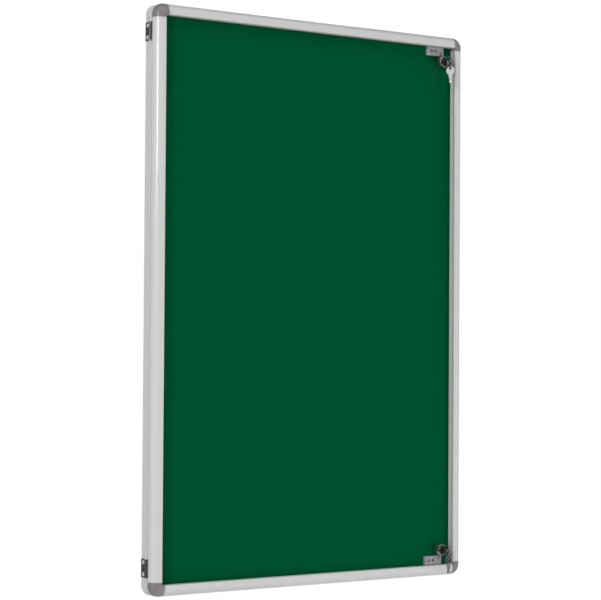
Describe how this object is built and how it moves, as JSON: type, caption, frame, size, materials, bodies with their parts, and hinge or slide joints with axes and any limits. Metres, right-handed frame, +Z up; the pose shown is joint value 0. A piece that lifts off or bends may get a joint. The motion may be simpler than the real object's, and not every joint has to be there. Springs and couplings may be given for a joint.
{
  "type": "notice board",
  "caption": "Lockable wall notice board: green felt panel in an aluminium frame with round grey corners, behind a hinged clear door with cam locks, keys and spare keys.",
  "frame": {"origin": "middle of the rear plane, at the centre of the four wall screw holes", "axes": "+X to the right seen from the front, +Y into the wall, +Z up"},
  "size_m": [0.6052, 0.0564, 0.9],
  "materials": {
    "base_frame": "satin anodised, fine lines along the length",
    "base_corner": "light grey moulded",
    "back_sheet": "hardboard",
    "backing_board": "fibre board",
    "felt": "green felt",
    "door_frame": "satin anodised, fine lines along the length",
    "door_corner": "mid grey moulded",
    "glazing": "clear sheet",
    "seal": "matt black",
    "hinge": "dark satin",
    "hinge_pin": "bright drawn",
    "screw": "bright zinc",
    "keeper": "dark satin",
    "lock": "polished nickel",
    "lock_fixing": "bright zinc",
    "key": "nickel plated",
    "key_ring": "polished wire"
  },
  "bodies": {
    "base": {"base_stile_left": "base_frame", "base_stile_right": "base_frame", "base_rail_top": "base_frame", "base_rail_bottom": "base_frame", "base_corner_top_left": "base_corner", "base_corner_top_right": "base_corner", "base_corner_bottom_left": "base_corner", "base_corner_bottom_right": "base_corner", "back_sheet": "back_sheet", "backing_board": "backing_board", "felt_face": "felt", "hinge_pin_top": "hinge_pin", "hinge_pin_bottom": "hinge_pin", "keeper_top": "keeper", "keeper_bottom": "keeper", "hinge_leaf_base_top": "hinge", "hinge_leaf_base_bottom": "hinge", "hinge_screws_base": "screw", "keeper_screws": "screw"},
    "door": {"door_stile_left": "door_frame", "door_stile_right": "door_frame", "door_rail_top": "door_frame", "door_rail_bottom": "door_frame", "door_corner_top_left": "door_corner", "door_corner_top_right": "door_corner", "door_corner_bottom_left": "door_corner", "door_corner_bottom_right": "door_corner", "glazing": "glazing", "glazing_seal_left": "seal", "glazing_seal_right": "seal", "glazing_seal_top": "seal", "glazing_seal_bottom": "seal", "hinge_leaf_door_top": "hinge", "hinge_leaf_door_bottom": "hinge", "hinge_screws_door": "screw", "lock_body_top": "lock", "lock_body_bottom": "lock", "lock_nut_top": "lock_fixing", "lock_nut_bottom": "lock_fixing", "lock_washer_top": "lock_fixing", "lock_washer_bottom": "lock_fixing"},
    "lock_top": {"lock_plug_top": "lock", "lock_cam_top": "lock_fixing", "cam_screw_top": "screw"},
    "lock_key_top": {"key_top": "key"},
    "ring_top": {"key_ring_top": "key_ring"},
    "spare_top": {"spare_key_top": "key"},
    "lock_bottom": {"lock_plug_bottom": "lock", "lock_cam_bottom": "lock_fixing", "cam_screw_bottom": "screw"},
    "lock_key_bottom": {"key_bottom": "key"},
    "ring_bottom": {"key_ring_bottom": "key_ring"},
    "spare_bottom": {"spare_key_bottom": "key"}
  },
  "joints": [
    {"name": "door_swing", "type": "hinge", "parent": "base", "child": "door", "pos_m": [-0.3028, -0.01805, 0], "axis": [0, 0, -1], "range_deg": [0, 170]},
    {"name": "lock_turn_top", "type": "hinge", "parent": "door", "child": "lock_top", "pos_m": [0.259, -0.0332, 0.407], "axis": [0, -1, 0], "range_deg": [0, 90]},
    {"name": "key_draw_top", "type": "slide", "parent": "lock_top", "child": "lock_key_top", "axis": [0, -1, 0], "range_m": [0, 0.012]},
    {"name": "ring_swing_top", "type": "hinge", "parent": "lock_key_top", "child": "ring_top", "pos_m": [0.259, -0.0488, 0.4056], "axis": [-1, 0, 0], "range_deg": [-5, 50]},
    {"name": "spare_key_swing_top", "type": "hinge", "parent": "ring_top", "child": "spare_top", "pos_m": [0.259, -0.0488, 0.3956], "axis": [-1, 0, 0], "range_deg": [-8, 50]},
    {"name": "lock_turn_bottom", "type": "hinge", "parent": "door", "child": "lock_bottom", "pos_m": [0.259, -0.0332, -0.407], "axis": [0, 1, 0], "range_deg": [0, 90]},
    {"name": "key_draw_bottom", "type": "slide", "parent": "lock_bottom", "child": "lock_key_bottom", "axis": [0, -1, 0], "range_m": [0, 0.012]},
    {"name": "ring_swing_bottom", "type": "hinge", "parent": "lock_key_bottom", "child": "ring_bottom", "pos_m": [0.259, -0.0488, -0.4084], "axis": [-1, 0, 0], "range_deg": [-5, 50]},
    {"name": "spare_key_swing_bottom", "type": "hinge", "parent": "ring_bottom", "child": "spare_bottom", "pos_m": [0.259, -0.0488, -0.4184], "axis": [-1, 0, 0], "range_deg": [-8, 50]}
  ]
}
